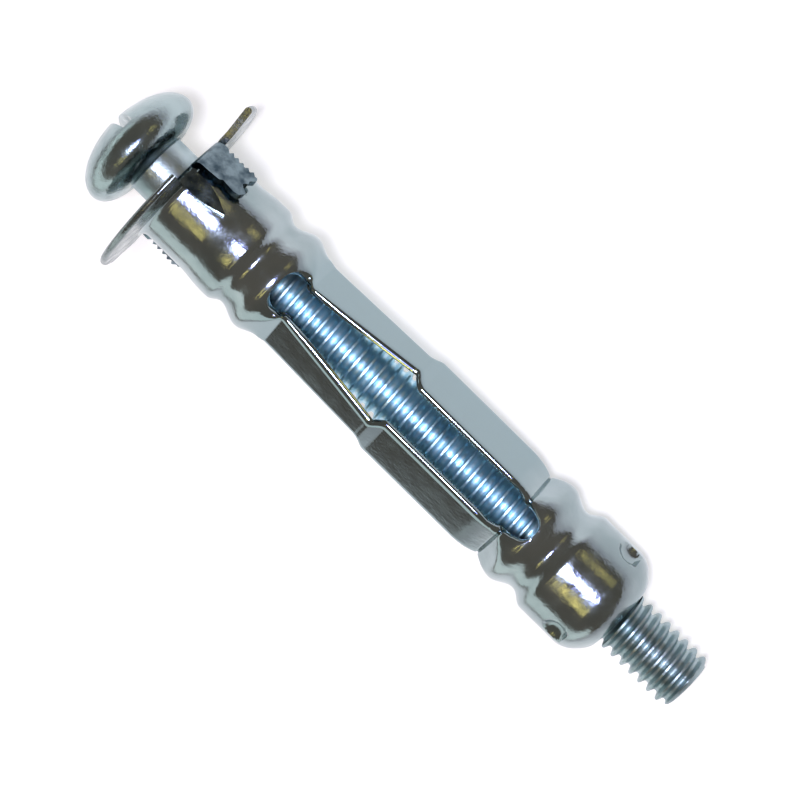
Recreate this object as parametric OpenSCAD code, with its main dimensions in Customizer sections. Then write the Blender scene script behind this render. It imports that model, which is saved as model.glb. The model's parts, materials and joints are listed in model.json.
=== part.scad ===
// Hollow wall anchor: a sheet-metal sleeve with a flange, three flat legs and a nut
// crimped into its cup, on a slotted machine screw. Millimetres. The screw's axis
// runs along +X from the head to the tip, and the anchor lies on a level surface.

/* [Sheet] */
// Thickness of the sleeve's sheet
sheet = 0.5; // [0.4:0.05:0.6]

/* [Flange] */
// Diameter of the round flange
flange_d = 14.1; // [13:0.1:16]
// Diameter of the flat ring that seats on the wall
seat_d = 9.8; // [9.4:0.1:11]
// Angle at which the flange outside its seat leans towards the head
flange_dish = 4; // [0:1:20]
// Radius of the bend between collar and flange
flange_bend = 0.45; // [0.3:0.05:0.6]
// Angle of each of the two cut-outs in the flange
notch_angle = 70; // [60:1:80]

/* [Claws] */
// Length of each claw below the flange
claw_len = 3.3; // [2:0.1:4.5]
// Width of the broad toothed claw
broad_claw_w = 2.6; // [2:0.1:2.8]
// Width of the pointed claw
point_claw_w = 1.25; // [0.8:0.05:1.5]
// Depth of the teeth along the broad claw's edges
tooth_depth = 0.3; // [0.1:0.05:0.4]
// Gap between the claws and the collar
claw_gap = 0.12; // [0.05:0.01:0.2]

/* [Sleeve] */
// Diameter of the collar below the flange
collar_d = 7.35; // [7:0.05:7.6]
// Length of the collar below the flange
collar_len = 5.8; // [5:0.1:9]
// Diameter over the beads and the cup
body_d = 8; // [7.8:0.05:8.4]
// Diameter at the bottom of the grooves
groove_d = 6.8; // [6.5:0.05:7]
// Length from a groove to the crest of the bead beside it
wave_len = 1.6; // [1.4:0.05:2]

/* [Legs] */
// Length of the legs from the front neck to the kink
front_leg_len = 8.7; // [7:0.1:16]
// Length of the kink in the legs
kink_len = 1.25; // [1:0.05:2]
// Length of the legs from the kink to the rear neck
rear_leg_len = 9.8; // [7:0.1:16]
// Distance from the axis to the flat of a leg at the front neck
neck_flat = 2.72; // [2.66:0.01:2.8]
// Distance from the axis to the flat of a leg just before the kink
kink_flat = 3.4; // [3.3:0.05:3.7]
// Distance from the axis to the flat of a leg after the kink
rear_flat = 3.24; // [3:0.02:3.3]
// Height of the kink's crest above the leg before it
kink_crest = 0.08; // [0.05:0.01:0.3]
// Width of a leg at the front neck
neck_leg_w = 4.4; // [4:0.1:4.6]
// Width of a leg just before the kink
kink_leg_w = 2.7; // [2.6:0.1:3.6]
// Width of a leg after the kink
rear_leg_w = 4.7; // [4.4:0.05:4.8]
// Width of the round opening at the front end of each slot
front_eye_w = 3; // [2.4:0.1:3.6]
// Length of the round opening at the front end of each slot
front_eye_len = 2.2; // [1.6:0.1:3]
// Diameter of the round opening at the rear end of each slot
rear_eye_d = 2; // [1.4:0.1:2.4]

/* [Cup] */
// Length of the cup's straight wall
cup_len = 3.1; // [3:0.1:5]
// Length of the cup's rounded end
nose_len = 1.9; // [1.2:0.1:2.2]
// Radius of the crimps that hold the nut
crimp_r = 1.05; // [0.7:0.05:1.1]
// Depth of the crimps
crimp_depth = 0.6; // [0.4:0.05:0.7]

/* [Screw] */
// Outside diameter of the thread
thread_d = 4.16; // [3.9:0.02:4.2]
// Distance from one thread ridge to the next
thread_pitch = 0.794; // [0.7:0.001:0.9]
// Depth of the thread
thread_depth = 0.4; // [0.2:0.05:0.5]
// Diameter of the plain shank under the head
shank_d = 4.3; // [4.2:0.02:4.4]
// Length of the plain shank
shank_len = 8; // [4:0.1:10]
// Length of the screw under its head
screw_len = 47.7; // [46.2:0.1:60]
// Gap between the head and the flange's seat plane
head_gap = 2.45; // [1.6:0.05:4]
// Diameter of the head
head_d = 8.84; // [7.5:0.02:10]
// Height of the head's dome above its widest line
dome_h = 2.43; // [1.6:0.01:3]
// Height of the head's rounded underside
rim_h = 1.38; // [0.8:0.01:1.6]
// Width of the driver slot
slot_w = 0.85; // [0.6:0.05:1.2]
// Depth of the driver slot
slot_depth = 1.1; // [0.6:0.05:1.5]
// Chamfer at the screw's tip
tip_chamfer = 0.35; // [0.1:0.05:0.5]

/* [Nut] */
// Gap between the nut and the cup's wall
nut_gap = 0.03; // [0.01:0.01:0.1]
// Gap between the nut's bore and the screw
thread_gap = 0.05; // [0.02:0.01:0.09]
// Gap between the nut's waist and the crimps
waist_gap = 0.03; // [0.01:0.01:0.1]

/* [Hidden] */
fine = 72;
blend_steps = 8;
eye_step = 10;
past = 1;

// Angles round the axis, before the anchor rolls onto its rest
leg_angles = [30, 150, 270];
slot_turn = 60;
notch_angles = [53, 233];
driver_angle = 81;
broad_claw_turn = -6;
point_claw_turn = 26;
rest_angle = 300;
rest_roll = 270 - rest_angle;

// Radii
body_r = body_d / 2;
collar_r = collar_d / 2;
groove_r = groove_d / 2;
flange_r = flange_d / 2;
seat_r = seat_d / 2;
belly_r = (collar_r + body_r) / 2;
bead_r = body_r - 0.1;
kink_r = body_r + 0.1;
flat_end_r = body_r + 0.2;
mouth_r = thread_d / 2 + 0.2;
nose_tip_r = mouth_r + sheet / 2;
rear_neck_flat = rear_flat - 0.3;

// Stations along the axis, from the flange's seat plane
groove_a = collar_len + wave_len * 0.6;
bead_a = groove_a + wave_len;
neck_a = bead_a + wave_len;
flat_a = neck_a + 0.5;
kink_start = neck_a + front_leg_len;
kink_end = kink_start + kink_len;
neck_b = kink_end + rear_leg_len;
bead_b = neck_b + wave_len;
groove_b = bead_b + wave_len;
cup_start = groove_b + wave_len * 0.75;
cup_end = cup_start + cup_len;
sleeve_end = cup_end + nose_len;
leg_bow = 2;
front_eye = neck_a - wave_len * 0.1;
rear_eye = neck_b + wave_len * 0.4;
crimp_x = cup_end - crimp_r / 2;

// Shares of a length, at which a form starts or ends
belly = [0.55, 0.9];
crest = [0.2, 0.45];
edge_bend = 0.15;
slot_slack = 0.05;
tooth_run = 0.6;
toothed = [0.12, 0.8];

// A smooth rise or fall between two stations, without its last point
function blend(x0, r0, x1, r1) = [
    for (i = [0:blend_steps - 1])
        [x0 + (x1 - x0) * i / blend_steps, r0 + (r1 - r0) * (1 - cos(180 * i / blend_steps)) / 2]
];

// A quarter wave between two stations, without its last point: turn 0 starts level and turn 1 ends level
function bow(x0, r0, x1, r1, turn) = [
    for (i = [0:blend_steps - 1]) let (a = 90 * i / blend_steps)
        [x0 + (x1 - x0) * i / blend_steps, r0 + (r1 - r0) * (turn == 0 ? 1 - cos(a) : sin(a))]
];

// Part of an ellipse round a centre, from one angle to another
function arc(cx, cy, rx, ry, from, to, steps) = [
    for (i = [0:steps]) let (a = from + (to - from) * i / steps) [cx + rx * cos(a), cy + ry * sin(a)]
];

// The sleeve's outline along its axis, from the collar to the end of the cup
function sleeve_line() = concat(
    [[collar_len / 2, collar_r]],
    blend(collar_len * belly[0], collar_r, collar_len * belly[1], belly_r),
    blend(collar_len, belly_r, groove_a, groove_r),
    blend(groove_a, groove_r, bead_a, bead_r),
    blend(bead_a, bead_r, neck_a, groove_r),
    [[neck_a, groove_r], [kink_start, bead_r], [kink_start + kink_len / 2, kink_r], [kink_end, body_r]],
    bow(neck_b - leg_bow, body_r, neck_b, groove_r, 0),
    bow(neck_b, groove_r, bead_b, body_r, 1),
    blend(bead_b, body_r, groove_b, groove_r),
    blend(groove_b, groove_r, cup_start, body_r)
);

// The cup's end curves in to the mouth that the screw passes through
function nose_line(inset) = concat(
    [[cup_start, body_r - inset]],
    [for (i = [0:blend_steps]) let (share = i / blend_steps)
        [cup_end + (nose_len - inset) * share,
         nose_tip_r - inset + (body_r - nose_tip_r) * cos(90 * share)]]
);

// The flat of a leg, seen from its side
function leg_line(inset) = concat(
    [[bead_a - wave_len, body_r + past], [bead_a, flat_end_r], [flat_a, neck_flat - inset],
     [kink_start, kink_flat - inset], [kink_start + kink_len * crest[0], kink_flat + kink_crest - inset],
     [kink_start + kink_len * crest[1], kink_flat + kink_crest - inset], [kink_end, rear_flat - inset]],
    bow(neck_b - leg_bow, rear_flat - inset, neck_b, rear_neck_flat - inset, 0),
    [[neck_b, rear_neck_flat - inset], [bead_b, flat_end_r], [bead_b + wave_len, body_r + past]]
);

// Turns a profile of [along, radius] points round the axis
module revolve(line, start_x, end_x)
    rotate([0, 90, 0])
        rotate_extrude($fn = fine)
            polygon(concat([[0, start_x]], [for (p = line) [p[1], p[0]]], [[0, end_x]]));

// The sleeve's shape without its hollow, or the hollow itself
module sleeve_form(inset) {
    line = concat([[-past, collar_r]], sleeve_line(), nose_line(0));
    shifted = [for (p = concat([[-past, collar_r]], sleeve_line())) [p[0], p[1] - inset]];
    difference() {
        revolve(inset == 0 ? line : concat(shifted, nose_line(inset)),
                -past, inset == 0 ? sleeve_end : sleeve_end - inset);
        for (a = leg_angles)
            rotate([a, 0, 0])
                linear_extrude(4 * body_r, center = true)
                    polygon(concat([[bead_a - wave_len, 2 * body_r]], leg_line(inset),
                        [[bead_b + wave_len, 2 * body_r]]));
    }
}

// The turned-out flange, flat at its seat and dished outside it
module flange() {
    rise = (flange_r - seat_r) * sin(flange_dish);
    edge = sheet / 2;
    rotate([0, 90, 0])
        rotate_extrude($fn = fine)
            polygon(concat(
                [[collar_r - sheet, flange_bend + sheet], [collar_r, flange_bend + sheet]],
                arc(collar_r + flange_bend, flange_bend, flange_bend, flange_bend, 180, 270, blend_steps),
                [[seat_r, 0], [flange_r - edge, -rise]],
                arc(flange_r - edge, -rise - edge, edge, edge, 60, -90, blend_steps),
                [[seat_r, -sheet]],
                arc(collar_r + flange_bend, flange_bend, flange_bend + sheet, flange_bend + sheet, 270, 180,
                    blend_steps)));
}

// The sector cut out of the flange for a pair of claws
module notch() {
    reach = 2 * flange_r;
    root_r = collar_r + flange_bend / 2;
    rotate([0, 90, 0])
        rotate([0, 0, 90])
            translate([0, 0, -3 * past])
                linear_extrude(3 * past + flange_bend)
                    difference() {
                        polygon([[0, 0], [reach * cos(notch_angle / 2), -reach * sin(notch_angle / 2)],
                            [reach * cos(notch_angle / 2), reach * sin(notch_angle / 2)]]);
                        circle(root_r, $fn = fine);
                    }
}

// A claw's sheet seen from its side: a stub of the flange, bent down along the collar
module claw_bend() {
    inner_y = collar_r + claw_gap;
    turn_r = 0.15;
    mid_y = inner_y - turn_r;
    slack = 0.1;
    linear_extrude(flange_r, center = true)
        polygon(concat(
            [[flange_bend, collar_r - sheet / 2], [-sheet, collar_r - sheet / 2], [-sheet, mid_y]],
            arc(turn_r, mid_y, sheet + turn_r, sheet + turn_r, 180, 90, blend_steps),
            [[claw_len + past, inner_y + sheet - slack], [claw_len + past, inner_y - slack]],
            arc(turn_r, mid_y, turn_r, turn_r, 90, 180, blend_steps),
            [[flange_bend, mid_y - turn_r]]));
}

// Cuts a claw's sheet to an outline of [along, across] points
module claw(outline)
    intersection() {
        claw_bend();
        rotate([90, 0, 0])
            translate([0, 0, -flange_r])
                linear_extrude(flange_r)
                    polygon(outline);
    }

// Broad claw: torn teeth along both edges and a slanted blunt end
module broad_claw() {
    tooth_count = 4;
    tooth = claw_len * toothed[1] / tooth_count;
    half = broad_claw_w / 2;
    fork = [[claw_len * 0.9, -half + tooth_depth / 2], [claw_len * 0.8, 0], [claw_len, half * 0.7]];
    claw(concat(
        [[-past, -half]],
        [for (i = [0:tooth_count - 1], k = [0, 1])
            [claw_len * toothed[0] + tooth * (i + k * tooth_run), -half + k * tooth_depth]],
        fork,
        [for (i = [tooth_count - 1:-1:0], k = [1, 0])
            [claw_len * toothed[0] + tooth * (i + k * tooth_run), half - k * tooth_depth / 2]],
        [[-past, half]]));
}

// Pointed claw: a leaf with a sharp tip
module point_claw() {
    half = point_claw_w / 2;
    leaf = [[0.4, -1], [0.7, -0.6], [1, 0.2], [0.6, 0.8], [0.35, 1]];
    claw(concat([[-past, -half]], [for (p = leaf) [claw_len * p[0], half * p[1]]], [[-past, half]]));
}

// How far a leg's edge lies from its middle where the slot ends in a round opening of that width
function eye_edge(r, width) = r * sin(slot_turn - asin(width / 2 / r));

// The edge of a leg as [along, across] points
function leg_edge() = [
    [front_eye, eye_edge(groove_r, front_eye_w)], [neck_a + kink_len * edge_bend, neck_leg_w / 2],
    [kink_start + kink_len * edge_bend, kink_leg_w / 2], [kink_end + slot_slack, rear_leg_w / 2],
    [neck_b - leg_bow + kink_len * edge_bend, rear_leg_w / 2], [neck_b, neck_leg_w / 2],
    [rear_eye, eye_edge((groove_r + body_r) / 2, rear_eye_d)]
];

// What lies beside a leg's edge, cut square through its flat
module beside_leg(side)
    rotate([90, 0, 0])
        translate([0, 0, -2 * body_r])
            linear_extrude(2 * body_r + past)
                polygon(concat([[front_eye, side * 2 * body_r]],
                    [for (p = leg_edge()) [p[0], side * p[1]]], [[rear_eye, side * 2 * body_r]]));

// One slot between two legs, with its round ends
module slot() {
    intersection() {
        rotate([-slot_turn, 0, 0])
            beside_leg(1);
        rotate([slot_turn, 0, 0])
            beside_leg(-1);
    }
    rotate([-90, 0, 0])
        linear_extrude(2 * body_r)
            polygon(arc(front_eye, 0, front_eye_len / 2, front_eye_w / 2, eye_step, 360, 360 / eye_step));
    rotate([-90, 0, 0])
        translate([rear_eye, 0, 0])
            cylinder(h = 2 * body_r, d = rear_eye_d, $fn = fine);
}

// Places a round crimp on the cup, for each leg
module crimps(r, x)
    for (a = leg_angles)
        rotate([a, 0, 0])
            translate([x, body_r + crimp_r - crimp_depth, 0])
                sphere(r, $fn = fine / 2);

// Sleeve: one piece of sheet, from the flange to the cup
module sleeve() color("lightsteelblue") {
    difference() {
        union() {
            difference() {
                intersection() {
                    sleeve_form(0);
                    translate([flange_bend + sheet, -flange_r, -flange_r])
                        cube([sleeve_end, 2 * flange_r, 2 * flange_r]);
                }
                sleeve_form(sheet);
                for (a = leg_angles)
                    rotate([a + slot_turn, 0, 0])
                        slot();
                rotate([0, 90, 0])
                    cylinder(h = sleeve_end + past, r = mouth_r, $fn = fine);
            }
            difference() {
                flange();
                for (a = notch_angles)
                    rotate([a, 0, 0])
                        notch();
            }
            for (a = notch_angles) {
                rotate([a + broad_claw_turn, 0, 0])
                    broad_claw();
                rotate([a + point_claw_turn, 0, 0])
                    point_claw();
            }
            intersection() {
                crimps(crimp_r + sheet, crimp_x);
                rotate([0, 90, 0])
                    translate([0, 0, cup_start])
                        cylinder(h = cup_len + nose_len / 2, r = body_r - sheet / 2, $fn = fine);
            }
        }
        crimps(crimp_r, crimp_x);
    }
}

// Nut: a turned insert whose waist takes the crimps
module nut() color("slategray") {
    nut_r = body_r - sheet - nut_gap;
    waist_r = body_r - crimp_depth - sheet - waist_gap;
    waist_w = 2 * (crimp_r + sheet);
    nut_start = cup_start;
    nut_end = cup_end + nose_len / 2;
    bore_r = thread_d / 2 + thread_gap;
    difference() {
        intersection() {
            translate([nut_start, 0, 0])
                rotate([0, 90, 0])
                    cylinder(h = nut_end - nut_start, r = nut_r, $fn = fine);
            revolve(concat([[-past, nut_r]], nose_line(sheet + nut_gap)), -past, sleeve_end);
        }
        translate([nut_start - past, 0, 0])
            rotate([0, 90, 0])
                cylinder(h = nut_end - nut_start + 2 * past, r = bore_r, $fn = fine);
        difference() {
            translate([crimp_x - waist_w / 2, 0, 0])
                rotate([0, 90, 0])
                    cylinder(h = waist_w, r = body_r, $fn = fine);
            translate([crimp_x - waist_w / 2 - past, 0, 0])
                rotate([0, 90, 0])
                    cylinder(h = waist_w + 2 * past, r = waist_r, $fn = fine);
        }
    }
}

// The thread's ridges from the shank to the tip, as rings round the axis
function thread_line(start, end) = concat(
    [[start, thread_d / 2]],
    [for (i = [1:floor((end - start) / thread_pitch)], k = [0, 1])
        [start + thread_pitch * (i - (1 - k) / 2), thread_d / 2 - (1 - k) * thread_depth]]
);

// Screw: domed slotted head, plain shank and ridged thread in one piece
module screw() color("gainsboro") {
    head_r = head_d / 2;
    thread_r = thread_d / 2;
    widest_x = -head_gap - rim_h;
    under_r = shank_d / 2 + 0.1;
    run_out = 0.2;
    tip_x = screw_len - head_gap;
    shank_end = shank_len - head_gap;
    difference() {
        rotate([0, 90, 0])
            rotate_extrude($fn = fine)
                polygon([for (p = concat(
                    arc(widest_x, 0, dome_h, head_r, 180, 90, 2 * blend_steps),
                    arc(widest_x, under_r, rim_h, head_r - under_r, 90, 0, blend_steps),
                    [[-head_gap, shank_d / 2], [shank_end, shank_d / 2]],
                    thread_line(shank_end + run_out, tip_x - tip_chamfer - thread_pitch / 4),
                    [[tip_x - tip_chamfer, thread_r], [tip_x, thread_r - tip_chamfer], [tip_x, 0]]))
                    [p[1], p[0]]]);
        rotate([driver_angle, 0, 0])
            translate([widest_x - dome_h - past, -head_r - past, -slot_w / 2])
                cube([slot_depth + past, 2 * (head_r + past), slot_w]);
    }
}

// Lays the anchor down: rolled onto its flange's rim, its middle over the origin
module rest() {
    front_x = -head_gap - rim_h - dome_h;
    tip_x = screw_len - head_gap;
    translate([-(front_x + tip_x) / 2, 0, flange_r])
        rotate([rest_roll, 0, 0])
            children();
}

rest() sleeve();
rest() nut();
rest() screw();
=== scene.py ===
"""Looks for the hollow wall anchor: plated sheet sleeve, threaded nut and slotted screw.

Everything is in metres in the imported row's frame: +X runs along the screw's axis from the head
to the tip, +Z is up, and the flange's rim stands on z = 0. Radii, stations along the axis and the
angles round it repeat the part's own dimensions, in millimetres from the flange's seat plane.
"""
import json
import math
import random

import numpy as np

import bmesh
import bpy
from mathutils import Matrix, Vector

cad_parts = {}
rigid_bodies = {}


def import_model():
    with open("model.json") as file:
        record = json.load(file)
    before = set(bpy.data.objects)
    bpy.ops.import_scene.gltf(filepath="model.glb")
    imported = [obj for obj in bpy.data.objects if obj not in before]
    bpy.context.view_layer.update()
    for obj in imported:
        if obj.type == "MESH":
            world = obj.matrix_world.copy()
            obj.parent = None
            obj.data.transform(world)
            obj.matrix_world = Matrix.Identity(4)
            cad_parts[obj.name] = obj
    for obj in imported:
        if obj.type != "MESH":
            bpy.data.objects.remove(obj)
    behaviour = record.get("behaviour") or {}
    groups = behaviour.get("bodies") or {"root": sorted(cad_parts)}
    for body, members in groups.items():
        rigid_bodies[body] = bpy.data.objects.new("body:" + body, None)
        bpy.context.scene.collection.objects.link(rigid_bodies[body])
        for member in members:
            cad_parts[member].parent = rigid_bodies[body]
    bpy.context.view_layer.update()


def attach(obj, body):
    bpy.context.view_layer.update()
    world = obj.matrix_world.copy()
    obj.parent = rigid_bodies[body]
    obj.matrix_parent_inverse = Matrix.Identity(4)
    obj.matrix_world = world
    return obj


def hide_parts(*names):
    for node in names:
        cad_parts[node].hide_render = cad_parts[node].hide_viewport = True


MM = 0.001
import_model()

# ---------------------------------------------------------------- dimensions, mm and degrees
SHEET = 0.5
FLANGE_R, SEAT_R, FLANGE_DISH, FLANGE_BEND = 7.05, 4.9, 4.0, 0.45
NOTCH_ANGLE, NOTCH_ANGLES = 70.0, (53.0, 233.0)
COLLAR_R, COLLAR_LEN, BODY_R, GROOVE_R, WAVE = 3.675, 5.8, 4.0, 3.4, 1.6
FRONT_LEG, KINK_LEN, REAR_LEG, LEG_BOW = 8.7, 1.25, 9.8, 2.0
NECK_FLAT, KINK_FLAT, REAR_FLAT, KINK_CREST = 2.72, 3.4, 3.24, 0.05
NECK_W, KINK_W, REAR_W = 4.4, 2.7, 4.7
EYE_W, EYE_LEN, REAR_EYE_D = 3.0, 2.2, 2.0
CUP_LEN, NOSE_LEN, CRIMP_R, CRIMP_DEPTH = 3.1, 1.9, 1.05, 0.6
THREAD_R, SHANK_R, SHANK_LEN, SCREW_LEN, HEAD_GAP = 2.08, 2.15, 8.0, 47.7, 2.45
HEAD_R, DOME_H, RIM_H, SLOT_W, SLOT_DEPTH, TIP_CHAMFER = 4.42, 2.43, 1.38, 0.85, 1.1, 0.35
PITCH, THREAD_DEPTH = 0.794, 0.42
LEG_ANGLES, REST_ANGLE, DRIVER_ANGLE = (30.0, 150.0, 270.0), 300.0, 81.0

GROOVE_A = COLLAR_LEN + WAVE * 0.6
BEAD_A = GROOVE_A + WAVE
NECK_A = BEAD_A + WAVE
KINK_START = NECK_A + FRONT_LEG
KINK_END = KINK_START + KINK_LEN
NECK_B = KINK_END + REAR_LEG
BEAD_B = NECK_B + WAVE
GROOVE_B = BEAD_B + WAVE
CUP_START = GROOVE_B + WAVE * 0.75
CUP_END = CUP_START + CUP_LEN
SLEEVE_END = CUP_END + NOSE_LEN
MOUTH_R = THREAD_R + 0.2
NOSE_TIP_R = MOUTH_R + SHEET / 2
FRONT_EYE = NECK_A - WAVE * 0.1
REAR_EYE = NECK_B + WAVE * 0.4
CRIMP_X = CUP_END - CRIMP_R / 2

HEAD_TOP = -HEAD_GAP - RIM_H - DOME_H
TIP_X = SCREW_LEN - HEAD_GAP
SEAT_X = -(HEAD_TOP + TIP_X) / 2           # the seat plane's place along the row's X
ROLL = 270.0 - REST_ANGLE                  # from angles round the anchor to the row's own


def place(x, r, theta):
    """A point at station x, radius r and angle theta round the anchor, in the row's metres."""
    phi = math.radians(theta + ROLL)
    return Vector(((x + SEAT_X) * MM, r * math.cos(phi) * MM, (r * math.sin(phi) + FLANGE_R) * MM))


# ---------------------------------------------------------------- camera
PHOTO_SIZE = 800
PX_PER_MM = 15.6
AXIS_ORIGIN = (385.18, 388.33)             # pixel of the station below, on the screw's axis
AXIS_STATION = 283.0 / PX_PER_MM           # its distance behind the seat plane, mm
AXIS_SLOPE = 44.5                          # degrees the axis falls towards the tip, in the picture
VIEW_ANGLE = 90.0                          # angle round the anchor that faces the camera
VIEW_DISTANCE = 230.0                      # mm from the axis
SENSOR_WIDTH = 36.0                        # mm


def add_camera():
    """A camera square to the axis, turned so that the axis falls across the picture as in the photo."""
    slope = math.radians(AXIS_SLOPE)
    along = Vector((1, 0, 0))
    phi_side = math.radians(VIEW_ANGLE - 90 + ROLL)
    side = Vector((0, math.cos(phi_side), math.sin(phi_side)))
    back = along.cross(side)
    right = math.cos(slope) * along + math.sin(slope) * side
    up = -math.sin(slope) * along + math.cos(slope) * side
    half = PHOTO_SIZE / 2
    dx, dy = half - AXIS_ORIGIN[0], half - AXIS_ORIGIN[1]
    s = (dx * math.cos(slope) + dy * math.sin(slope)) / PX_PER_MM
    t = (dx * math.sin(slope) - dy * math.cos(slope)) / PX_PER_MM
    target = place(AXIS_STATION + s, 0, 0) + side * t * MM
    camera = bpy.data.cameras.new("camera")
    camera.sensor_width = SENSOR_WIDTH
    camera.lens = SENSOR_WIDTH * VIEW_DISTANCE * PX_PER_MM / PHOTO_SIZE
    camera.clip_start = 0.005
    camera.clip_end = 20
    holder = bpy.data.objects.new("camera", camera)
    bpy.context.scene.collection.objects.link(holder)
    turn = Matrix((right, up, back)).transposed().to_4x4()
    holder.matrix_world = Matrix.Translation(target + back * VIEW_DISTANCE * MM) @ turn
    bpy.context.scene.camera = holder


add_camera()

# ---------------------------------------------------------------- mesh helpers
MERGE = 3e-7                               # vertices closer than this are one, m
NO_LENGTH = 1e-8                           # edges shorter than this are dissolved, m


def mix(a, b, t):
    return a + (b - a) * t


def straight(t):
    return t


def level(t):
    """From 0 to 1, level at both ends and held beyond them."""
    return (1 - math.cos(math.pi * max(0.0, min(1.0, t)))) / 2


def bow_in(t):
    """From 0 to 1, level at the start."""
    return 1 - math.cos(math.pi / 2 * t)


def bow_out(t):
    """From 0 to 1, level at the end."""
    return math.sin(math.pi / 2 * t)


def along_line(points, x):
    """The height at x of a line through (x, height, way) points; way leads to the next point."""
    if x <= points[0][0]:
        return points[0][1]
    for (x0, y0, way), (x1, y1, _) in zip(points, points[1:]):
        if x <= x1:
            return mix(y0, y1, way((x - x0) / (x1 - x0)))
    return points[-1][1]


def stretch(x0, x1, step):
    """Stations from x0 up to but not including x1, about a step apart."""
    n = max(1, round((x1 - x0) / step))
    return [mix(x0, x1, i / n) for i in range(n)]


def round_points(x, r, theta):
    """Points at stations x, radii r and angles theta, as an array of rows in metres."""
    phi = np.radians(np.asarray(theta) + ROLL)
    x, r = np.broadcast_to(x, phi.shape), np.broadcast_to(r, phi.shape)
    along, across, up = x + SEAT_X, r * np.cos(phi), r * np.sin(phi) + FLANGE_R
    return np.stack([along * MM, across * MM, up * MM], axis=-1)


def new_object(name, vertices, faces, material, smooth_angle=35.0):
    """A merged and closed mesh in the scene; edges sharper than smooth_angle stay sharp."""
    mesh = bpy.data.meshes.new(name)
    mesh.from_pydata([tuple(v) for v in vertices], [], faces)
    bm = bmesh.new()
    bm.from_mesh(mesh)
    bmesh.ops.remove_doubles(bm, verts=bm.verts, dist=MERGE)
    bmesh.ops.dissolve_degenerate(bm, edges=bm.edges, dist=NO_LENGTH)
    bmesh.ops.delete(bm, geom=[v for v in bm.verts if not v.link_faces], context="VERTS")
    bmesh.ops.recalc_face_normals(bm, faces=bm.faces)
    bm.to_mesh(mesh)
    bm.free()
    mesh.polygons.foreach_set("use_smooth", [True] * len(mesh.polygons))
    mesh.set_sharp_from_angle(angle=math.radians(smooth_angle))
    mesh.materials.append(material)
    obj = bpy.data.objects.new(name, mesh)
    bpy.context.scene.collection.objects.link(obj)
    return obj


class Shell:
    """A sheet built from rings of outer and inner points; a ring is three strips, one about each leg."""

    def __init__(self):
        self.vertices, self.faces, self.rings = [], [], []

    def add_ring(self, outer, inner):
        start = len(self.vertices)
        size = outer.shape[0] * outer.shape[1]
        self.vertices.extend(outer.reshape(-1, 3))
        self.vertices.extend(inner.reshape(-1, 3))
        self.rings.append((start, start + size, outer.shape[1]))

    def strip(self, a, b, third, columns, cut_low, cut_high):
        """Joins rings a and b over a range of one third's columns, with cut walls at its ends."""
        (oa, ia, n), (ob, ib, _) = self.rings[a], self.rings[b]
        base = third * n
        low, high = columns
        for j in range(base + low, base + high):
            self.faces.append((oa + j, oa + j + 1, ob + j + 1, ob + j))
            self.faces.append((ia + j + 1, ia + j, ib + j, ib + j + 1))
        if cut_low:
            j = base + low
            self.faces.append((oa + j, ob + j, ib + j, ia + j))
        if cut_high:
            j = base + high
            self.faces.append((ob + j, oa + j, ia + j, ib + j))

    def end_wall(self, a, third, columns):
        """Closes the sheet's edge at ring a over a range of one third's columns."""
        oa, ia, n = self.rings[a]
        for j in range(third * n + columns[0], third * n + columns[1]):
            self.faces.append((oa + j + 1, oa + j, ia + j, ia + j + 1))


# ---------------------------------------------------------------- sleeve
HALF_THIRD = 60.0                          # degrees from a leg's middle to where the next third starts
CREASE_SOFT = 0.05                         # softness of the fold between a leg's flat and the round, mm
FOLD_DEPTH, FOLD_HALF = 0.1, 0.12          # the sharp fold where the legs meet the rear bead, mm
CREST_START, CREST_END = 0.2, 0.35         # the kink's crest, as shares of the kink's length
EDGE_LAG = KINK_LEN * 0.15                 # how far behind the legs' folds their widths change, mm
EDGE_ROUND = 0.38                          # rounding of the slots' outer edges, mm
EDGE_ROUND_INNER = 0.3                     # rounding of their inner edges, as a share of the outer
ROUND_SHARE = 0.6                          # the most of a slot's half width that the rounding takes
EDGE_SPREAD = 6.0                          # degrees from an edge to where its rounding ends
EDGE_SHARES = (0, 0.04, 0.14, 1 / 3, 0.6, 1)   # places of the edge columns, as shares of the spread
INNER_STEPS, INNER_INSET = 52, 8           # even steps between them, and degrees kept from an edge
EYE_ROWS = 12                              # rings that crowd at an eye's round end
RIM_INSET = 0.006                          # keeps the rim within the solid's facets, mm
NOSE_ROWS, NOSE_FULLNESS = 14, 0.75        # rings round the cup's end; less than 1 is fuller
NOTCH_ROOT = 4                             # the pair of the flange's path where the notches end
WINGS = ((NOTCH_ANGLES[0] + NOTCH_ANGLE / 2, NOTCH_ANGLES[1] - NOTCH_ANGLE / 2),
         (NOTCH_ANGLES[1] + NOTCH_ANGLE / 2, NOTCH_ANGLES[0] + 360 - NOTCH_ANGLE / 2))

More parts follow.
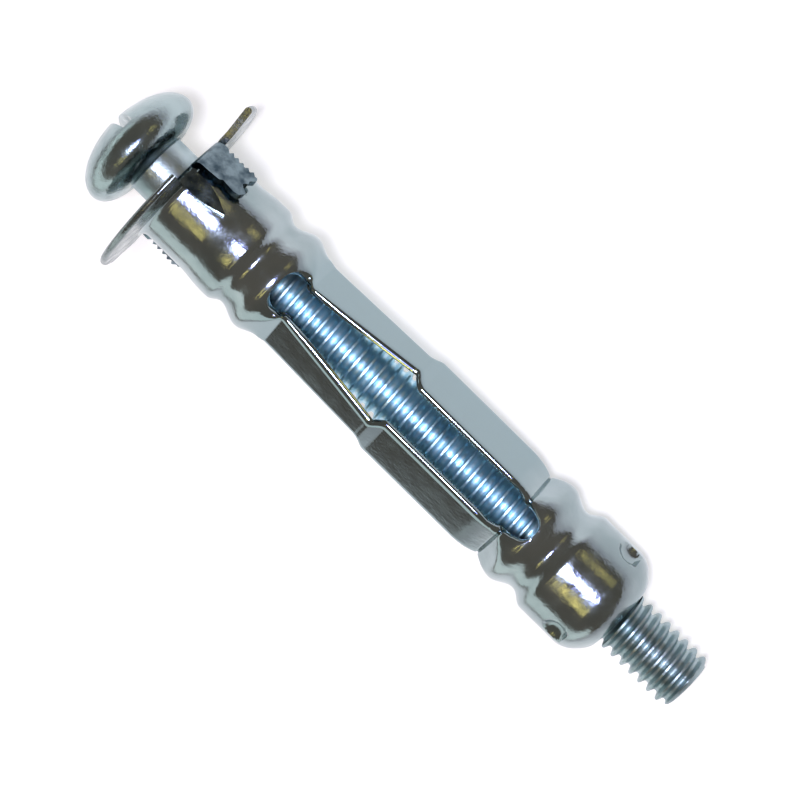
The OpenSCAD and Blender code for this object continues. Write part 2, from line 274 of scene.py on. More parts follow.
BODY_LINE = [
    (0, COLLAR_R, straight), (COLLAR_LEN * 0.55, COLLAR_R, level),
    (COLLAR_LEN * 0.9, (COLLAR_R + BODY_R) / 2, straight),
    (COLLAR_LEN, (COLLAR_R + BODY_R) / 2, level), (GROOVE_A, GROOVE_R, level),
    (BEAD_A, BODY_R - 0.1, level), (NECK_A, GROOVE_R, straight),
    (KINK_START, BODY_R - 0.1, straight), (KINK_START + KINK_LEN / 2, BODY_R + 0.1, straight),
    (KINK_END, BODY_R, straight), (NECK_B - LEG_BOW, BODY_R, bow_in), (NECK_B, GROOVE_R, bow_out),
    (BEAD_B, BODY_R, level), (GROOVE_B, GROOVE_R, level), (CUP_START, BODY_R, straight),
    (CUP_END, BODY_R, straight)]
FLAT_LINE = [
    (BEAD_A - WAVE, BODY_R + 1, straight), (BEAD_A, BODY_R + 0.2, straight),
    (NECK_A + 0.5, NECK_FLAT, straight), (KINK_START, KINK_FLAT, straight),
    (KINK_START + KINK_LEN * CREST_START, KINK_FLAT + KINK_CREST, straight),
    (KINK_START + KINK_LEN * CREST_END, KINK_FLAT + KINK_CREST, straight),
    (KINK_END, REAR_FLAT, straight), (NECK_B - LEG_BOW, REAR_FLAT, bow_in),
    (NECK_B, REAR_FLAT - 0.3, straight), (BEAD_B, BODY_R + 0.2, straight),
    (BEAD_B + WAVE, BODY_R + 1, straight)]


def eye_edge(r, width):
    """How far a leg's edge lies from its middle where the slot ends in a round opening of that width."""
    return r * math.sin(math.radians(HALF_THIRD) - math.asin(width / 2 / r))


EDGE_LINE = [
    (FRONT_EYE, eye_edge(GROOVE_R, EYE_W), straight), (NECK_A + EDGE_LAG, NECK_W / 2, straight),
    (KINK_START + EDGE_LAG, KINK_W / 2, level), (KINK_END + 0.05, REAR_W / 2, straight),
    (NECK_B - LEG_BOW + EDGE_LAG, REAR_W / 2, straight), (NECK_B, NECK_W / 2, straight),
    (REAR_EYE, eye_edge((GROOVE_R + BODY_R) / 2, REAR_EYE_D), straight)]


def crimp_dent(x, off):
    """How deep a crimp presses the cup's wall, at angles off the crimp's middle."""
    d2 = (x - CRIMP_X) ** 2 + (BODY_R * np.radians(off)) ** 2
    return np.maximum(0.0, np.sqrt(np.maximum(0.0, CRIMP_R ** 2 - d2)) - (CRIMP_R - CRIMP_DEPTH))


def tube_radius(x, off):
    """Outer radius of the sleeve at station x, at angles off the nearest leg's middle."""
    body = along_line(BODY_LINE, x)
    flat = along_line(FLAT_LINE, x) / np.cos(np.radians(np.minimum(80.0, np.abs(off))))
    radius = body - CREASE_SOFT * np.log1p(np.exp(np.clip((body - flat) / CREASE_SOFT, -60, 60)))
    radius = radius - FOLD_DEPTH * max(0.0, 1 - abs(x - NECK_B) / FOLD_HALF)
    return radius - crimp_dent(x, off)


def leg_half_angle(x):
    """Half the angle that the sheet spans about a leg's middle: a half third where there is no slot."""
    body = along_line(BODY_LINE, x)
    half = HALF_THIRD
    if FRONT_EYE <= x <= REAR_EYE:
        flat, edge = along_line(FLAT_LINE, x), along_line(EDGE_LINE, x)
        on_flat = math.hypot(flat, edge) < body
        half = math.degrees(math.atan2(edge, flat) if on_flat else math.asin(edge / body))
    for centre, length, width in ((FRONT_EYE, EYE_LEN, EYE_W), (REAR_EYE, REAR_EYE_D, REAR_EYE_D)):
        u = (x - centre) / (length / 2)
        if abs(u) < 1:
            opening = width / 2 * math.sqrt(1 - u * u)
            half = min(half, HALF_THIRD - math.degrees(math.asin(min(0.999, opening / body))))
    return half


def strip_offsets(half):
    """Angles of a strip's columns off its leg's middle, and how far each is rounded off."""
    edge = [half - EDGE_SPREAD * share for share in EDGE_SHARES]
    drop = [1 - math.sqrt(1 - (1 - share) ** 2) for share in EDGE_SHARES]
    inner = [(half - INNER_INSET) * (2 * j / INNER_STEPS - 1) for j in range(INNER_STEPS + 1)]
    offsets = [-e for e in edge] + inner + edge[::-1]
    drops = drop + [0.0] * (INNER_STEPS + 1) + drop[::-1]
    return np.array(offsets), np.array(drops)


def tube_stations():
    """Stations of the tube's rings, close together where its line bends."""
    eye_start, eye_end = FRONT_EYE - EYE_LEN / 2, REAR_EYE + REAR_EYE_D / 2
    crowd = [1 - math.cos(math.pi / 2 * i / EYE_ROWS) for i in range(EYE_ROWS)]
    stations = stretch(FLANGE_BEND + 0.15, COLLAR_LEN * 0.5, 0.4)
    stations += stretch(COLLAR_LEN * 0.5, COLLAR_LEN, 0.2)
    stations += stretch(COLLAR_LEN, eye_start, 0.11)
    stations += [mix(eye_start, FRONT_EYE, c) for c in crowd]
    for start, end, step in ((FRONT_EYE, NECK_A + 0.8, 0.09),
                             (NECK_A + 0.8, KINK_START - 0.2, 0.9),
                             (KINK_START - 0.2, KINK_END + 0.3, 0.07),
                             (KINK_END + 0.3, NECK_B - LEG_BOW, 0.9),
                             (NECK_B - LEG_BOW, NECK_B - FOLD_HALF, 0.11),
                             (NECK_B - FOLD_HALF, NECK_B + FOLD_HALF, FOLD_HALF / 2),
                             (NECK_B + FOLD_HALF, REAR_EYE, 0.11)):
        stations += stretch(start, end, step)
    stations += [mix(eye_end, REAR_EYE, c) for c in crowd[::-1]] + [eye_end]
    stations += stretch(eye_end + 0.1, CUP_START, 0.13)
    stations += stretch(CUP_START, CRIMP_X - CRIMP_R, 0.3)
    stations += stretch(CRIMP_X - CRIMP_R, CUP_END, 0.08)
    return stations + [CUP_END]


def tube_ring(x, half):
    """Outer and inner points of one ring; the inner ones lie a sheet's thickness along the normal."""
    offsets, drops = strip_offsets(half)
    rounding = min(EDGE_ROUND, math.radians(HALF_THIRD - half) * BODY_R * ROUND_SHARE)
    step, turn = 0.02, 0.3                 # how far the tangents reach, in mm and degrees
    outer, inner = [], []
    for leg in LEG_ANGLES:
        point = round_points(x, tube_radius(x, offsets), leg + offsets)
        ahead = (round_points(x + step, tube_radius(x + step, offsets), leg + offsets)
                 - round_points(x - step, tube_radius(x - step, offsets), leg + offsets))
        side = (round_points(x, tube_radius(x, offsets + turn), leg + offsets + turn)
                - round_points(x, tube_radius(x, offsets - turn), leg + offsets - turn))
        normal = np.cross(side, ahead)
        normal /= np.linalg.norm(normal, axis=1, keepdims=True)
        drop = (drops * rounding * MM)[:, None]
        outer.append(point - normal * drop)
        inner.append(point - normal * (SHEET * MM - drop * EDGE_ROUND_INNER))
    return np.array(outer), np.array(inner)


def ring_from(outer, inner):
    """A whole ring from one outer and one inner (x, r) pair."""
    offsets, _ = strip_offsets(HALF_THIRD)
    return tuple(np.array([round_points(x, r, leg + offsets) for leg in LEG_ANGLES])
                 for x, r in (outer, inner))


def flange_path():
    """(outer, inner) pairs of (x, r) from the collar's bend to the flange's rim."""
    edge = SHEET / 2
    rise = (FLANGE_R - SEAT_R) * math.sin(math.radians(FLANGE_DISH))
    rim_r = FLANGE_R - edge - RIM_INSET
    bend_r = COLLAR_R + FLANGE_BEND
    back = FLANGE_BEND + SHEET
    pairs = []
    for angle in (180, 195, 210, 225, 240, 250, 260, 270):
        c, s = math.cos(math.radians(angle)), math.sin(math.radians(angle))
        pairs.append(((FLANGE_BEND + FLANGE_BEND * s, bend_r + FLANGE_BEND * c),
                      (FLANGE_BEND + back * s, bend_r + back * c)))
    for r in (SEAT_R - 0.5, SEAT_R - 0.2):
        pairs.append(((0, r), (-SHEET, r)))
    for i in range(5):
        r, x = mix(SEAT_R, rim_r, i / 4), -rise * i / 4
        pairs.append(((x, r), (x - SHEET, r)))
    for angle in range(15, 91, 15):
        c, s = math.cos(math.radians(90 - angle)), math.sin(math.radians(90 - angle))
        pairs.append(((-rise - edge + edge * s, rim_r + edge * c),
                      (-rise - edge - edge * s, rim_r + edge * c)))
    return pairs


def nose_path():
    """(outer, inner) pairs of (x, r) round the cup's end, to the mouth that the screw passes."""
    pairs = []
    for i in range(1, NOSE_ROWS + 1):
        share = math.sin(math.pi / 2 * i / NOSE_ROWS)
        curve = (BODY_R - NOSE_TIP_R) * math.cos(math.pi / 2 * share) ** NOSE_FULLNESS
        pairs.append(((CUP_END + NOSE_LEN * share, NOSE_TIP_R + curve),
                      (CUP_END + (NOSE_LEN - SHEET) * share, max(MOUTH_R, NOSE_TIP_R - SHEET + curve))))
    for share, lift in ((0.5, 0.0), (0.9, 0.03), (1.0, 0.1)):
        r = mix(NOSE_TIP_R, MOUTH_R, share)
        pairs.append(((SLEEVE_END - lift, r), (SLEEVE_END - SHEET + lift, MOUTH_R)))
    return pairs


def wing_columns(third):
    """For each of a third's columns, whether the flange has a wing there and not a notch."""
    offsets, _ = strip_offsets(HALF_THIRD)
    angles = (LEG_ANGLES[third] + (offsets[1:] + offsets[:-1]) / 2) % 360
    return [any(a < theta < b or a < theta + 360 < b for a, b in WINGS) for theta in angles]


def runs_of(flags):
    """The (first, end) ranges over which the flags are true."""
    edges = [j for j in range(len(flags) + 1)
             if (j > 0 and flags[j - 1]) != (j < len(flags) and flags[j])]
    return list(zip(edges[::2], edges[1::2]))


def build_sleeve(material):
    """The sleeve's rings from the flange's rim to the mouth, with the notches and slots left open."""
    shell = Shell()
    front, nose, stations = flange_path()[::-1], nose_path(), tube_stations()
    halves = [HALF_THIRD] * len(front) + [leg_half_angle(x) for x in stations]
    halves += [HALF_THIRD] * len(nose)
    rings = [ring_from(*pair) for pair in front]
    rings += [tube_ring(x, half) for x, half in zip(stations, halves[len(front):])]
    rings += [ring_from(*pair) for pair in nose]
    for outer, inner in rings:
        shell.add_ring(outer, inner)
    root_ring = len(front) - 1 - NOTCH_ROOT
    wings = [wing_columns(third) for third in range(3)]
    last = len(wings[0])
    for i in range(len(rings) - 1):
        cut = min(halves[i], halves[i + 1]) < HALF_THIRD - 0.001
        for third in range(3):
            if i < root_ring:
                for low, high in runs_of(wings[third]):
                    shell.strip(i, i + 1, third, (low, high), low > 0, high < last)
                continue
            shell.strip(i, i + 1, third, (0, last), cut, cut)
            if i == root_ring:
                for j in range(last):
                    if not wings[third][j]:
                        shell.end_wall(i, third, (j, j + 1))
            if i == len(rings) - 2:
                shell.end_wall(i + 1, third, (0, last))
    sleeve = new_object("anchor_sleeve", shell.vertices, shell.faces, material)
    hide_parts("sleeve")
    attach(sleeve, "sleeve_body")
    return sleeve


# ---------------------------------------------------------------- claws
CLAW_LEN, CLAW_GAP, CLAW_TURN = 3.3, 0.12, 0.15    # length, gap to the collar, bend radius, mm
CLAW_INNER = COLLAR_R + CLAW_GAP           # height of a claw's inner face, mm
CLAW_ROOT = COLLAR_R - SHEET / 2           # height where a claw starts, within the collar's wall, mm
CLAW_STUB = CLAW_INNER - CLAW_TURN - CLAW_ROOT     # the upright stretch before the bend, mm
CLAW_BEND = math.pi / 2 * (CLAW_TURN + SHEET / 2)  # the bend's length along the sheet's middle, mm
CLAW_ROWS, CLAW_COLUMNS = 44, 14
TEETH, TOOTH = 6, 0.3                      # teeth along a broad claw's edge and their depth, mm
BROAD_W, POINT_W = 2.6, 1.25
BROAD_TURN, POINT_TURN = -6.0, 26.0        # degrees from a notch's middle
BROAD_LIFT, POINT_LIFT = 0.15, 0.1         # how far a claw's end stands off, mm


def zigzag(points, x):
    """The height at x of a line through (x, height) points."""
    for (x0, y0), (x1, y1) in zip(points, points[1:]):
        if x <= x1:
            return mix(y0, y1, max(0.0, (x - x0) / (x1 - x0)))
    return points[-1][1]


def claw_side(p, lift):
    """Outer and inner (x, height) of a claw's sheet at a distance p along its bend."""
    if p < CLAW_STUB:
        return (-SHEET, CLAW_ROOT + p), (0.0, CLAW_ROOT + p)
    if p < CLAW_STUB + CLAW_BEND:
        a = math.pi - (p - CLAW_STUB) / CLAW_BEND * math.pi / 2
        c, s = math.cos(a), math.sin(a)
        middle, outer_turn = CLAW_INNER - CLAW_TURN, SHEET + CLAW_TURN
        return ((CLAW_TURN + outer_turn * c, middle + outer_turn * s),
                (CLAW_TURN + CLAW_TURN * c, middle + CLAW_TURN * s))
    x = CLAW_TURN + p - CLAW_STUB - CLAW_BEND
    up = lift * ((x - CLAW_TURN) / CLAW_LEN) ** 2
    return (x, CLAW_INNER + SHEET + up), (x, CLAW_INNER + up)


def build_claw(name, turn, low_edge, high_edge, end, lift, material):
    """A claw at the angle turn, its tip standing off by lift.

    low_edge and high_edge are (x, across) points along its sides, and end has (share across, length)
    points along its tip, in mm.
    """
    straight_start = CLAW_STUB + CLAW_BEND - CLAW_TURN
    vertices, faces = [], []
    for face in range(2):
        for i in range(CLAW_ROWS + 1):
            for j in range(CLAW_COLUMNS + 1):
                share = j / CLAW_COLUMNS
                p = (straight_start + zigzag(end, share)) * i / CLAW_ROWS
                x = max(0.0, p - straight_start)
                station, height = claw_side(p, lift)[face]
                across = mix(zigzag(low_edge, x), zigzag(high_edge, x), share)
                theta = turn + math.degrees(math.atan2(across, height))
                vertices.append(place(station, math.hypot(across, height), theta))
    n = CLAW_COLUMNS + 1
    size = n * (CLAW_ROWS + 1)
    for i in range(CLAW_ROWS):
        for j in range(CLAW_COLUMNS):
            a, b = i * n + j, (i + 1) * n + j
            faces.append((a, a + 1, b + 1, b))
            faces.append((size + a + 1, size + a, size + b, size + b + 1))
    rim = [(0, j) for j in range(CLAW_COLUMNS)]
    rim += [(i, CLAW_COLUMNS) for i in range(CLAW_ROWS)]
    rim += [(CLAW_ROWS, j) for j in range(CLAW_COLUMNS, 0, -1)]
    rim += [(i, 0) for i in range(CLAW_ROWS, 0, -1)]
    for (i, j), (i2, j2) in zip(rim, rim[1:] + rim[:1]):
        a, b = i * n + j, i2 * n + j2
        faces.append((a, b, size + b, size + a))
    claw = new_object(name, vertices, faces, material, 30.0)
    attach(claw, "sleeve_body")


def scaled(points, length, width):
    """Points given as shares of a claw's length and width, in mm."""
    return [(x * length, y * width) for x, y in points]


def broad_low_edge(rng):
    """The broad claw's torn edge: a row of teeth, each a little different."""
    half = BROAD_W / 2
    pitch = CLAW_LEN * 0.8 / TEETH
    edge = [(-1, -half)]
    for i in range(TEETH):
        start = CLAW_LEN * 0.12 + pitch * i
        edge.append((start, -half - rng.uniform(0, 0.08)))
        edge.append((start + pitch * 0.6, -half + TOOTH * rng.uniform(0.7, 1.1)))
    return edge + [(CLAW_LEN, -half + TOOTH / 2)]


def broad_high_edge():
    """The broad claw's other edge, with one nick."""
    half = BROAD_W / 2
    nick = ((0.1, 0.0), (0.45, 0.1), (0.5, 0.3), (0.8, 0.15), (1.0, 0.3))
    return [(-1, half)] + [(CLAW_LEN * share, half - depth) for share, depth in nick]


BROAD_END = ((0, 0.92), (0.12, 0.97), (0.3, 0.86), (0.42, 0.9), (0.55, 0.8), (0.8, 1), (1, 0.93))
POINT_LOW = ((0.4, -1), (0.7, -0.6), (1, 0.15))
POINT_HIGH = ((0.35, 1), (0.6, 0.8), (1, 0.25))


def build_claws(material):
    """One broad toothed claw and one pointed claw in each notch."""
    rng = random.Random(7)
    half = POINT_W / 2
    for k, angle in enumerate(NOTCH_ANGLES):
        build_claw(f"broad_claw_{k}", angle + BROAD_TURN, broad_low_edge(rng), broad_high_edge(),
                   scaled(BROAD_END, 1, CLAW_LEN), BROAD_LIFT, material)
        build_claw(f"point_claw_{k}", angle + POINT_TURN,
                   [(-1, -half)] + scaled(POINT_LOW, CLAW_LEN, half),
                   [(-1, half)] + scaled(POINT_HIGH, CLAW_LEN, half),
                   [(0, CLAW_LEN), (1, CLAW_LEN)], POINT_LIFT, material)


# ---------------------------------------------------------------- screw
SCREW_COLUMNS = 80
SCREW_SMOOTH = 40.0                        # edges sharper than this stay sharp, degrees
ROWS_PER_PITCH = 12
DOME_ROWS, RIM_ROWS = 24, 12               # rings over the head's dome and down its rim
NECK_STEP = 0.1                            # the small step under the head, mm
CREST_SHARE, FLANK_SHARE = 0.14, 0.66      # shares of half a pitch that the crest and a flank take
THREAD_START = SHANK_LEN - HEAD_GAP
RUN_IN = 1.1                               # length over which the thread grows to its depth, mm


def thread_radius(turns):
    """Radius of the rolled thread at a place in its profile: a V with a rounded crest and root."""
    u = abs((turns % 1.0) - 0.5) * 2
    return THREAD_R - THREAD_DEPTH * level((u - CREST_SHARE) / FLANK_SHARE)


def head_profile():
    """(x, r) points from the dome's top to where the thread starts."""
    widest, under = -HEAD_GAP - RIM_H, SHANK_R + NECK_STEP
    points = []
    for i in range(DOME_ROWS + 1):
        a = math.radians(90 * i / DOME_ROWS)
        points.append((widest - DOME_H * math.cos(a), HEAD_R * math.sin(a)))
    for i in range(1, RIM_ROWS + 1):
        a = math.radians(90 - 90 * i / RIM_ROWS)
        points.append((widest + RIM_H * math.cos(a), under + (HEAD_R - under) * math.sin(a)))
    points += [(-HEAD_GAP, under), (-HEAD_GAP + 0.04, SHANK_R + 0.03), (-HEAD_GAP + NECK_STEP, SHANK_R)]
    points += [(x, SHANK_R) for x in stretch(-HEAD_GAP + 0.5, THREAD_START - 0.3, 1.0)]
    return points + [(THREAD_START - 0.2, SHANK_R)]


def thread_point(turns, angle):
    """(x, r) on the thread, at a place in its profile, in pitches, and an angle round the screw."""
    x = THREAD_START + PITCH * (turns + angle / 360 - 1)
    if x <= THREAD_START:
        return THREAD_START, SHANK_R
    if x >= TIP_X - 0.005:
        return TIP_X, THREAD_R - TIP_CHAMFER - 0.07
    r = mix(SHANK_R, thread_radius(turns), level((x - THREAD_START) / RUN_IN))
    chamfer = TIP_CHAMFER * max(0.0, (x - TIP_X + TIP_CHAMFER) / TIP_CHAMFER)
    return x, min(r, THREAD_R - chamfer)


def screw_rings():
    """Rings of (x, r) along the screw, one entry for each column, and the columns' angles.

    The first and last columns lie at the same angle. A thread ring climbs one pitch in a turn, so its
    last column meets the first column of the ring a pitch further on.
    """
    angles = [360.0 * j / SCREW_COLUMNS for j in range(SCREW_COLUMNS + 1)]
    rings = [[point] * len(angles) for point in head_profile()]
    rows = math.ceil((TIP_X - THREAD_START) / PITCH + 1.2) * ROWS_PER_PITCH
    for k in range(rows):
        rings.append([thread_point(k / ROWS_PER_PITCH, angle) for angle in angles])
    rings.append([(TIP_X, 0.0)] * len(angles))
    return rings, angles


def build_screw(material):
    rings, angles = screw_rings()
    vertices, faces = [], []
    for ring in rings:
        for (x, r), angle in zip(ring, angles):
            vertices.append(place(x, r, angle))
    n = len(angles)
    for i in range(len(rings) - 1):
        for j in range(n - 1):
            faces.append((i * n + j, i * n + j + 1, (i + 1) * n + j + 1, (i + 1) * n + j))
    screw = new_object("anchor_screw", vertices, faces, material, SCREW_SMOOTH)
    cut_driver_slot(screw)
    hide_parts("screw")
    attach(screw, "screw_body")
    return screw


def cut_driver_slot(screw):
    """Cuts the straight driver slot across the head's dome."""
    reach, half = 6, SLOT_W / 2
    corners = []
    for x in (HEAD_TOP - 1, HEAD_TOP + SLOT_DEPTH):
        for along, across in ((-reach, -half), (reach, -half), (reach, half), (-reach, half)):
            theta = DRIVER_ANGLE + math.degrees(math.atan2(across, along))
            corners.append(place(x, math.hypot(along, across), theta))
    faces = [(0, 1, 2, 3), (7, 6, 5, 4), (0, 4, 5, 1), (1, 5, 6, 2), (2, 6, 7, 3), (3, 7, 4, 0)]
    cutter = new_object("cutter", corners, faces, screw.data.materials[0])
    modifier = screw.modifiers.new("driver_slot", "BOOLEAN")
    modifier.operation = "DIFFERENCE"
    modifier.object = cutter
    modifier.solver = "EXACT"
    bpy.context.view_layer.update()
    cut = bpy.data.meshes.new_from_object(screw.evaluated_get(bpy.context.evaluated_depsgraph_get()))
    screw.modifiers.clear()
    screw.data = cut
    cut.set_sharp_from_angle(angle=math.radians(SCREW_SMOOTH))
    bpy.data.objects.remove(cutter)


# ---------------------------------------------------------------- materials
class Nodes:
    """Short calls for building one material's nodes."""

    def __init__(self, name):
        self.material = bpy.data.materials.new(name)
        self.material.use_nodes = True
        self.tree = self.material.node_tree
        self.shader = self.tree.nodes["Principled BSDF"]

    def feed(self, node, key, value):
        """Links a socket to a node's input, or writes a constant on it."""
        if isinstance(value, bpy.types.NodeSocket):
            self.tree.links.new(value, node.inputs[key])
        else:
            node.inputs[key].default_value = value

    def add(self, kind, inputs=(), **settings):
        node = self.tree.nodes.new("ShaderNode" + kind)
        for key, value in settings.items():
            setattr(node, key, value)
        for key, value in dict(inputs).items():
            self.feed(node, key, value)
        return node

    def set(self, key, value):
        self.feed(self.shader, key, value)

    def calc(self, operation, a, b):
        return self.add("Math", {0: a, 1: b}, operation=operation).outputs[0]

    def noise(self, scale, detail, stretch_x=1.0):
        coords = self.add("TexCoord")
        mapping = self.add("Mapping", {"Vector": coords.outputs["Object"], "Scale": (stretch_x, 1, 1)})
        return self.add("TexNoise", {"Vector": mapping.outputs[0], "Scale": scale, "Detail": detail,
                                     "Roughness": 0.5}).outputs["Fac"]

    def ramp(self, value, stops):
        node = self.add("ValToRGB", {"Fac": value})
        while len(node.color_ramp.elements) < len(stops):
            node.color_ramp.elements.new(0.5)
        for element, (position, colour) in zip(node.color_ramp.elements, stops):
            element.position = position
            element.color = (*colour, 1)
        return node.outputs["Color"]

    def fit(self, value, low, high, to_low, to_high):
        return self.add("MapRange", {"Value": value, "From Min": low, "From Max": high,
                                     "To Min": to_low, "To Max": to_high}).outputs[0]


def zone_mask(nodes, zone):
    """A value that is 1 over a run of stations (start, end, blur in mm) and 0 beyond the blur."""
    start, end, blur = (zone[0] + SEAT_X) * MM, (zone[1] + SEAT_X) * MM, zone[2] * MM
    coords = nodes.add("TexCoord").outputs["Object"]
    along = nodes.add("SeparateXYZ", {0: coords}).outputs["X"]
    rise = nodes.fit(along, start - blur, start, 0.0, 1.0)
    fall = nodes.fit(along, end, end + blur, 1.0, 0.0)
    return nodes.calc("MINIMUM", rise, fall)


def plated(name, dark, light, rough, waves, grain, zone=None, zone_tint=None, zone_calm=None,
           blotch=300):
    """Bright zinc plate: a mirror with soft waves, a fine grain and lengthwise scratches.

    dark and light are the colours of the patches, blotch the patches' scale and rough the lowest and
    highest roughness. zone is a run of stations with a tint of its own, which on the screw is partly
    painted light; zone_calm, where given, scales the roughness and the waves in it, and half of it the
    grain.
    """
    nodes = Nodes(name)
    nodes.set("Metallic", 1.0)
    tint = nodes.ramp(nodes.noise(blotch, 3), [(0.35, dark), (0.65, light)])
    dull = nodes.fit(nodes.noise(1100, 4), 0.35, 0.7, *rough)
    height, fine_height = waves, grain
    if zone:
        inside = zone_mask(nodes, zone)
        own = {"Fac": inside, "Color1": tint, "Color2": (*zone_tint, 1)}
        tint = nodes.add("MixRGB", own).outputs[0]
        if zone_calm:
            calm = nodes.calc("MULTIPLY", dull, zone_calm)
            dull = nodes.add("Mix", {0: inside, 2: dull, 3: calm}).outputs[0]
            height = nodes.fit(inside, 0.0, 1.0, waves, waves * zone_calm)
            fine_height = nodes.fit(inside, 0.0, 1.0, grain, grain * zone_calm / 2)
    nodes.set("Base Color", tint)
    nodes.set("Roughness", dull)
    normal = None
    for relief, strength, depth in ((nodes.noise(350, 2), height, 0.0001),
                                    (nodes.noise(4200, 3), fine_height, 0.00002),
                                    (nodes.noise(5200, 2, 0.1), fine_height, 0.000005)):
        bump = {"Height": relief, "Strength": strength, "Distance": depth}
        if normal is not None:
            bump["Normal"] = normal
        normal = nodes.add("Bump", bump).outputs[0]
    nodes.set("Normal", normal)
    return nodes.material


# ---------------------------------------------------------------- floor, light
FLOOR_SIZE = 2.0                           # half the floor's side, m
FLOOR_NEAR, FLOOR_FAR = 0.05, 0.075        # where the white that metal sees starts and ends to fade, m
FLOOR_SHIFT = -0.03                        # the fade's centre along Y, m
FLOOR_GLOW = 0.5                           # strength of the floor's own light, where it is seen


def floor_white():
    """Plain white for the camera; the metal sees its glow only near the anchor."""
    nodes = Nodes("floor_white")
    coords = nodes.add("TexCoord").outputs["Object"]
    centre = nodes.add("VectorMath", {0: coords, 1: (0, FLOOR_SHIFT, 0)}, operation="SUBTRACT")
    reach = nodes.add("VectorMath", {0: centre.outputs[0]}, operation="LENGTH").outputs["Value"]
    fade = nodes.fit(reach, FLOOR_NEAR, FLOOR_FAR, 1.0, 0.0)
    path = nodes.add("LightPath").outputs
    bent = nodes.calc("MAXIMUM", path["Is Glossy Ray"], path["Is Transmission Ray"])
    seen = nodes.calc("MAXIMUM", nodes.calc("MULTIPLY", bent, fade), path["Is Camera Ray"])
    nodes.set("Base Color", (0.85, 0.83, 0.8, 1))
    nodes.set("Roughness", 0.9)
    nodes.set("Specular IOR Level", 0.0)
    nodes.set("Emission Color", (1, 1, 1, 1))
    nodes.set("Emission Strength", nodes.calc("MULTIPLY", seen, FLOOR_GLOW))
    return nodes.material


def add_stage():
    """A floor tilted about the flange's rim, so that both the rim and the cup lie on it."""
    tilt = math.atan2(FLANGE_R - BODY_R, CUP_START)
    a = FLOOR_SIZE
    mesh = bpy.data.meshes.new("floor")
    mesh.from_pydata([(-a, -a, 0), (a, -a, 0), (a, a, 0), (-a, a, 0)], [], [(0, 1, 2, 3)])
    mesh.materials.append(floor_white())
    floor = bpy.data.objects.new("floor", mesh)
    floor.location = (SEAT_X * MM, 0, 0)
    floor.rotation_euler = (0, -tilt, 0)
    bpy.context.scene.collection.objects.link(floor)


def lamp(name, theta, distance, spread, length, glow, colour, tilt=0.0, x=10.0):
    """A lamp facing station x on the axis, from an angle round the anchor, tilted towards the head.

    distance and length, its size along the axis, are in mm, and length 0 makes a round lamp. spread is
    its height as an angle seen from the axis, and glow the brightness of its face.
    """
    data = bpy.data.lights.new(name, "AREA")
    height = 2 * distance * math.tan(math.radians(spread / 2)) * MM
    data.size = height
    if length:
        data.shape = "RECTANGLE"
        data.size_y = length * MM
        area = height * length * MM
    else:
        data.shape = "DISK"
        area = math.pi * height * height / 4
    data.energy = glow * math.pi * area
    data.color = colour
    lean = math.radians(tilt)
    aim = place(x, 0, theta)
    spot = place(x - distance * math.sin(lean), distance * math.cos(lean), theta)
    back = (spot - aim).normalized()
    side = (place(0, 1, theta + 90) - place(0, 0, theta)).normalized()
    turn = Matrix((side, back.cross(side), back)).transposed().to_4x4()
    holder = bpy.data.objects.new(name, data)
    holder.matrix_world = Matrix.Translation(spot) @ turn
    bpy.context.scene.collection.objects.link(holder)


WHITE, VIOLET, PALE, GOLD = (1.0, 1.0, 1.0), (0.38, 0.36, 1.0), (0.95, 1.0, 1.0), (1.0, 0.74, 0.22)


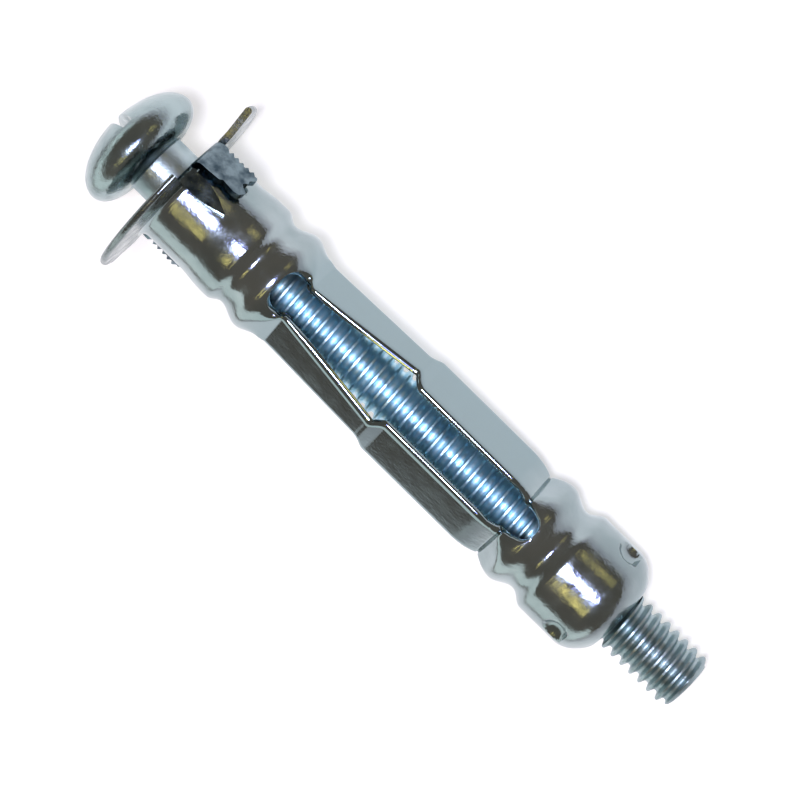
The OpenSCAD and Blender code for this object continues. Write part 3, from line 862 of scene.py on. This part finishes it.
def add_light():
    """A dim warm room, a flash near the camera, two pale panels and four small warm lamps."""
    world = bpy.data.worlds.new("room")
    bpy.context.scene.world = world
    world.use_nodes = True
    background = world.node_tree.nodes["Background"]
    background.inputs["Color"].default_value = (0.17, 0.14, 0.12, 1)
    background.inputs["Strength"].default_value = 1.0
    # name, angle, distance, spread, length, glow, colour
    lamp("flash", 97, 420, 10, 0, 60, WHITE)
    lamp("flash_rim", 97, 425, 22, 0, 6.0, VIOLET)
    lamp("low_panel", 191.5, 300, 32, 900, 0.95, PALE)
    lamp("head_panel", 90, 300, 70, 70, 1.15, PALE, tilt=92)
    lamp("warm_head_low", 127, 300, 24, 8, 3.5, GOLD, x=-19)
    lamp("warm_head_high", 54, 300, 12, 8, 3.0, GOLD, x=-13)
    lamp("warm_tip_low", 125, 300, 20, 10, 4.5, GOLD, x=58)
    lamp("warm_tip_high", 53, 300, 14, 10, 2.0, GOLD, x=58)


# ---------------------------------------------------------------- the scene
def on_flange(face):
    across, up = face.center.y, face.center.z - FLANGE_R * MM
    return math.hypot(across, up) > (COLLAR_R + FLANGE_BEND) * MM


def on_head(face):
    return face.center.x < (SEAT_X - HEAD_GAP) * MM


def second_material(piece, material, chosen):
    """Gives some faces of a piece another material: those for which chosen(face) is true."""
    piece.data.materials.append(material)
    for face in piece.data.polygons:
        if chosen(face):
            face.material_index = 1


def dress_nut(material):
    """Gives the nut, which is shown as its own solid, the material."""
    for obj in bpy.data.objects:
        if obj.type == "MESH" and obj.name.split(".")[0] == "nut":
            obj.data.materials.clear()
            obj.data.materials.append(material)


sleeve_zinc = plated("sleeve_zinc", (0.3, 0.38, 0.39), (0.4, 0.48, 0.49), (0.1, 0.26), 0.12, 0.6,
                     (NECK_A, NECK_B - WAVE, WAVE), (0.28, 0.37, 0.385), 0.3)
# The flange's zinc is darker than the sleeve's: painted shade, standing in for the dark that its
# underside shows over the shadowed floor beneath it.
flange_zinc_painted_shade = plated("flange_zinc_painted_shade", (0.2, 0.245, 0.25), (0.28, 0.33, 0.335), (0.16, 0.36), 0.5, 1.0,
                     blotch=900)
# The claws' zinc is much darker than the rest: painted shade, for the shade they lie in under the flange
# and against the collar. Its fine lighter patches are random tone that also stands in for glints, as
# painted highlights.
claw_zinc = plated("claw_zinc", (0.05, 0.08, 0.1), (0.2, 0.27, 0.3), (0.12, 0.3), 1.0, 1.0,
                   blotch=1300)
# Between the slots' eyes, where the sleeve shades the thread, the screw takes a brighter, bluer tint:
# partly the screw's own blue, partly painted light that makes up for the sleeve's shade.
screw_zinc = plated("screw_zinc", (0.27, 0.38, 0.4), (0.46, 0.56, 0.58), (0.3, 0.5), 0.3, 1.0,
                    (FRONT_EYE, REAR_EYE, WAVE), (0.53, 0.77, 0.88))
head_zinc = plated("head_zinc", (0.29, 0.38, 0.39), (0.4, 0.5, 0.51), (0.12, 0.32), 0.3, 1.0)
nut_steel = plated("nut_steel", (0.3, 0.34, 0.35), (0.4, 0.44, 0.45), (0.2, 0.35), 0.1, 0.3)

second_material(build_sleeve(sleeve_zinc), flange_zinc_painted_shade, on_flange)
build_claws(claw_zinc)
second_material(build_screw(screw_zinc), head_zinc, on_head)
dress_nut(nut_steel)
add_stage()
add_light()
bpy.context.scene.view_settings.view_transform = "Standard"
